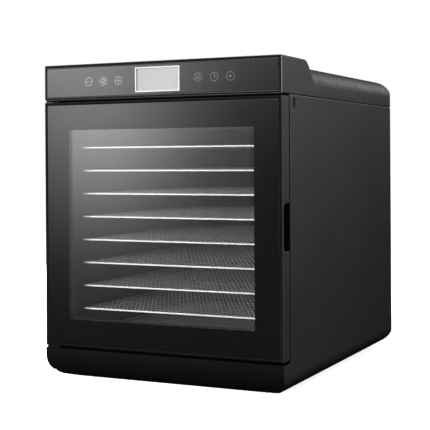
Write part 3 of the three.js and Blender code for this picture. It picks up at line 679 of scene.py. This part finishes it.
KEY_RADIUS = 5.7 * MM
KEY_LINE = 0.8 * MM
KEYS = [  # distance right of the middle, symbol
    (-101 * MM, "minus"),
    (-78.7 * MM, "fan"),
    (-56.2 * MM, "plus"),
    (57.8 * MM, "lines"),
    (80.2 * MM, "clock"),
    (102.3 * MM, "dot"),
]
INK_DEPTH = 0.06 * MM
INK_EDGE = 0.01 * MM
DISPLAY_FRAME_WIDTH = 1.9 * MM
DISPLAY_CORNER = 0.4 * MM
DISPLAY_FRAME_PROUD = 0.1 * MM
DISPLAY_FRAME_EDGE = 0.15 * MM
DISPLAY_SET_BACK = 0.9 * MM
DISPLAY_EDGE = 0.1 * MM
PANEL_CORNER = 1.5 * MM
PANEL_EDGE = 0.3 * MM


def bar(low, high):
    """A rectangle with square corners, anticlockwise."""
    return [(low[0], low[1]), (high[0], low[1]), (high[0], high[1]), (low[0], high[1])]


def key_strokes(kind, x, z):
    """The symbol inside a touch key's ring: a closed loop for each of its strokes."""
    r = KEY_RADIUS
    t = KEY_LINE / 2
    minus = bar((x - 0.7 * r, z - t), (x + 0.7 * r, z + t))
    if kind == "minus":
        return [minus]
    if kind == "plus":
        upper = bar((x - t, z + 1.1 * t), (x + t, z + 0.7 * r))
        lower = bar((x - t, z - 0.7 * r), (x + t, z - 1.1 * t))
        return [minus, upper, lower]
    if kind == "fan":
        places = [(x + 0.4 * r * math.cos(a), z + 0.4 * r * math.sin(a)) for a in (0.4, 1.97, 3.54, 5.11)]
        return [circle(place, 0.22 * r, 16) for place in places]
    if kind == "lines":
        return [
            bar((x - 0.55 * r, z + level * r - t), (x + 0.55 * r, z + level * r + t))
            for level in (-0.36, 0.0, 0.36)
        ]
    if kind == "clock":
        return [bar((x - t, z - t), (x + t, z + 0.6 * r)), bar((x + 1.1 * t, z - t), (x + 0.5 * r, z + t))]
    return [circle((x, z), 0.28 * r, 16)]


def add_touch_keys(front, middle_z):
    """Rings with a symbol in each, printed on the panel. The three at the left are brighter."""
    section = eased(front - INK_DEPTH, front, INK_EDGE, 1)
    for number, (x, kind) in enumerate(KEYS, start=1):
        outer = circle((x, middle_z), KEY_RADIUS)
        inner = circle((x, middle_z), KEY_RADIUS - KEY_LINE)
        strokes = [(outer, [inner])] + [(loop, []) for loop in key_strokes(kind, x, middle_z)]
        ink = BRIGHT_INK if x < 0 else GREY_INK
        parts = [
            plate(f"touch_key_{number}_{index}", edge, holes, section, ink)
            for index, (edge, holes) in enumerate(strokes)
        ]
        place_on(join_pieces(f"touch_key_{number}", parts), "cabinet")


def join_pieces(name, parts):
    """Joins pieces that share one material into one mesh."""
    bm = bmesh.new()
    material = parts[0].data.materials[0]
    for part in parts:
        bm.from_mesh(part.data)
        bpy.data.objects.remove(part)
    mesh = bpy.data.meshes.new(name)
    bm.to_mesh(mesh)
    bm.free()
    return finish_piece(name, mesh, material)


def add_control_panel():
    """A gloss panel with a framed grey display in the middle and three touch keys each side."""
    low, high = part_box("control_panel_glass")
    screen_low, screen_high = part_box("display_module")
    cut_out = rounded((screen_low.x, screen_low.z), (screen_high.x, screen_high.z), DISPLAY_CORNER, 2)
    edge = rounded((low.x, low.z), (high.x, high.z), PANEL_CORNER)
    section = eased(low.y, high.y, PANEL_EDGE)
    face = plate("control_panel_face", edge, [cut_out], section, SLOT_MATERIALS["panel_glass"])
    place_on(face, "cabinet")
    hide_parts("control_panel_glass")
    opening = rounded(
        (screen_low.x + DISPLAY_FRAME_WIDTH, screen_low.z + DISPLAY_FRAME_WIDTH),
        (screen_high.x - DISPLAY_FRAME_WIDTH, screen_high.z - DISPLAY_FRAME_WIDTH),
        DISPLAY_CORNER,
        2,
    )
    section = eased(low.y - DISPLAY_FRAME_PROUD, high.y, DISPLAY_FRAME_EDGE, 2)
    bezel = plate("display_frame", inset(cut_out, FIT_GAP), [opening], section, WHITE_INK)
    place_on(bezel, "cabinet")
    section = eased(low.y + DISPLAY_SET_BACK, screen_high.y, DISPLAY_EDGE, 1)
    screen = plate("display_screen", inset(opening, FIT_GAP), [], section, SLOT_MATERIALS["display_face"])
    place_on(screen, "cabinet")
    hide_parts("display_module")
    add_touch_keys(low.y, (screen_low.z + screen_high.z) / 2)


# ---- Trays -----------------------------------------------------------------------------

RIM_RADIUS = 1.05 * MM
RIM_CORNER = 3 * MM
MESH_SLOPE = 1.9
CLOSE_PITCH = 6.2 * MM
CROSS_PITCH = 18 * MM
MESH_WIRE_RADIUS = 0.46 * MM
MESH_LIFT = 0.4 * MM


def clipped_diagonal(low, high, slope, offset):
    """The ends of the line y = slope * x + offset inside a rectangle, or None if it misses it."""
    (x0, y0), (x1, y1) = low, high
    at = sorted(((y0 - offset) / slope, (y1 - offset) / slope))
    start, end = max(x0, at[0]), min(x1, at[1])
    if end - start < MESH_WIRE_RADIUS:
        return None
    return (start, slope * start + offset), (end, slope * end + offset)


def add_tray(node):
    """A wire tray: a round rim, painted bright in front as a highlight and dark along its sides and back as
    shade, and a slanted mesh welded on top of it.
    """
    low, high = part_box(node)
    z = (low.z + high.z) / 2
    inner_low = (low.x + RIM_RADIUS, low.y + RIM_RADIUS)
    inner_high = (high.x - RIM_RADIUS, high.y - RIM_RADIUS)
    verts, faces = [], []
    rim = [(x, y, z) for x, y in rounded(inner_low, inner_high, RIM_CORNER, 8)]
    sweep(verts, faces, rim, RIM_RADIUS, 12, closed=True)
    frame_piece = make_piece(node + "_rim", verts, faces, WIRE_PAINTED_SHADE)
    # the front of the rim gets the bright wire as a painted highlight, the rest the dark wire as painted
    # shade
    paint(frame_piece, WIRE_PAINTED_HIGHLIGHT, lambda centre, normal: centre.y < low.y + RIM_CORNER)
    verts, faces = [], []
    reach = MESH_SLOPE * (high.x - low.x) + (high.y - low.y)
    for slope, pitch in ((MESH_SLOPE, CROSS_PITCH), (-MESH_SLOPE, CLOSE_PITCH)):
        first = low.y - max(slope * low.x, slope * high.x)
        step = MESH_SLOPE * pitch
        for index in range(int(reach / step) + 1):
            line = clipped_diagonal(inner_low, inner_high, slope, first + index * step)
            if line:
                ends = [(x, y, z + MESH_LIFT) for x, y in line]
                sweep(verts, faces, ends, MESH_WIRE_RADIUS, 6)
    mesh_piece = make_piece(node + "_mesh", verts, faces, SLOT_MATERIALS["chrome_wire"])
    for piece in (frame_piece, mesh_piece):
        place_on(piece, node)
        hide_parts(node)


# ---- Cabinet details -------------------------------------------------------------------

NOTCH_HEIGHTS = (180 * MM, 241 * MM)
NOTCH_DEPTH = 9 * MM
NOTCH_SET_BACK = 3 * MM
NOTCH_EDGE_REACH = 1.2 * MM
BASE_CURVE_WIDTH = 22 * MM
LIP_LENGTH = 20 * MM
LIP_SET_BACK = 3 * MM
LIP_DEPTH = 2.5 * MM
LIP_CLEARANCE = 0.4 * MM
LIP_EDGE = 0.2 * MM
FACE_REACH = 1 * MM  # a face whose centre is this near the end of its piece counts as being there
DEEP_FACE_REACH = 2 * MM


def paint_cover(piece, door_side):
    """Its front face is black like the glass set in it, and the right edge of that face gets a painted
    highlight.
    """
    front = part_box("top_cover")[0].y + DEEP_FACE_REACH
    black = SLOT_MATERIALS["black_plastic"]
    paint(piece, black, lambda centre, normal: centre.y < front and normal.y < -0.9)
    # painted highlight on the rounded right edge of the front face
    paint(
        piece,
        EDGE_PAINTED_HIGHLIGHT,
        lambda centre, normal: (
            centre.y < front and centre.x > door_side and normal.x > 0.5 and normal.y < -0.2
        ),
    )


def paint_door(piece, door_side):
    """Its outer sides are charcoal, and its finger notch is painted near-black as shade."""
    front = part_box("door_frame")[0].y
    charcoal = SLOT_MATERIALS["side_plastic"]
    notch_bottom, notch_top = NOTCH_HEIGHTS
    paint(piece, charcoal, lambda centre, normal: abs(centre.x) > door_side and abs(normal.x) > 0.5)
    paint(
        # painted shade in the finger notch
        piece,
        PAINTED_SHADE_PLASTIC,
        lambda centre, normal: (
            door_side + NOTCH_EDGE_REACH > centre.x > door_side - NOTCH_DEPTH
            and centre.y > front + NOTCH_SET_BACK
            and notch_bottom < centre.z < notch_top
        ),
    )


def paint_base(piece, door_side):
    """Its curved ends are charcoal."""
    curve_start = door_side - BASE_CURVE_WIDTH
    charcoal = SLOT_MATERIALS["side_plastic"]
    paint(piece, charcoal, lambda centre, normal: abs(centre.x) > curve_start and abs(normal.x) > 0.3)


def paint_side_panel(piece, node):
    """Its front face is painted near-black as shade, and the rounded edges along its front and top get a
    faint painted highlight.
    """
    low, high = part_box(node)
    front, top = low.y + FACE_REACH, high.z - FACE_REACH
    # painted shade on the front face, behind the door
    paint(piece, PAINTED_SHADE_PLASTIC, lambda centre, normal: centre.y < front and normal.y < -0.9)
    # faint painted highlight on the rounded front and top edges
    paint(
        piece,
        FAINT_PAINTED_HIGHLIGHT,
        lambda centre, normal: (
            abs(normal.x) > 0.2
            and (centre.y < front and normal.y < -0.2 or centre.z > top and normal.z > 0.2)
        ),
    )


def paint_parts():
    """Colours that only a part of a piece has."""
    door_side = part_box("door_frame")[1].x - DEEP_FACE_REACH
    paint_cover(finished["top_cover"], door_side)
    paint_door(finished["door_frame"], door_side)
    paint_base(finished["base_front"], door_side)
    for node in ("side_panel_left", "side_panel_right"):
        paint_side_panel(finished[node], node)
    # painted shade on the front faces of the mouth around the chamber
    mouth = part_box("front_frame")[0].y + FACE_REACH
    paint(finished["front_frame"], PAINTED_SHADE_PLASTIC, lambda centre, normal: centre.y < mouth and normal.y < -0.5)


def add_gap_lips():
    """Small lips at the hinge side that close the gaps over and under the door to light; their near-black
    colour is a painted shade for the gaps.
    """
    door_low, door_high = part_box("door_frame")
    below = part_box("base_front")[1].z
    above = door_high.z + (door_low.z - below)
    left, front = door_low.x + LIP_CLEARANCE, door_low.y + LIP_SET_BACK
    for name, foot, head in (
        ("gap_lip_lower", below, door_low.z - LIP_CLEARANCE),
        ("gap_lip_upper", door_high.z + LIP_CLEARANCE, above),
    ):
        edge = rounded((left, foot), (left + LIP_LENGTH, head), LIP_EDGE, 2)
        section = eased(front, front + LIP_DEPTH, LIP_EDGE, 2)
        # the lips are made in the near-black painted-shade plastic
        place_on(plate(name, edge, [], section, PAINTED_SHADE_PLASTIC), "cabinet")


# ---- Assembly --------------------------------------------------------------------------

EDGE_ROUNDING = {  # 0 leaves the edges sharp
    "top_cover": 1.5 * MM,
    "side_panel_left": 0.9 * MM,
    "side_panel_right": 0.9 * MM,
    "base_front": 0,
    "base_pan": 0.5 * MM,
    "door_frame": 0.9 * MM,
    "front_frame": 0.5 * MM,
    "rear_panel": 0.4 * MM,
    "rear_grille": 0.8 * MM,
}
FINE_ROUNDING = 0.2 * MM
OWN_MATERIALS = {"rear_grille": REAR_WALL, "rear_panel": REAR_PANEL}
BUILT_HERE = {"door_glass", "control_panel_glass", "display_module"}

add_camera()
add_surroundings()
add_floor()
for lamp in LAMPS:
    add_lamp(*lamp)

finished = {}
for node in frame["nodes"]:
    if node not in BUILT_HERE and not node.startswith("tray_"):
        finished[node] = refined(node, EDGE_ROUNDING.get(node, FINE_ROUNDING))
paint_parts()
add_gap_lips()
for node in sorted(frame["nodes"]):
    if node.startswith("tray_"):
        add_tray(node)
add_door_glass()
add_control_panel()

scene = bpy.context.scene
scene.view_settings.view_transform = "Standard"
scene.view_settings.look = "None"

bpy.context.view_layer.update()
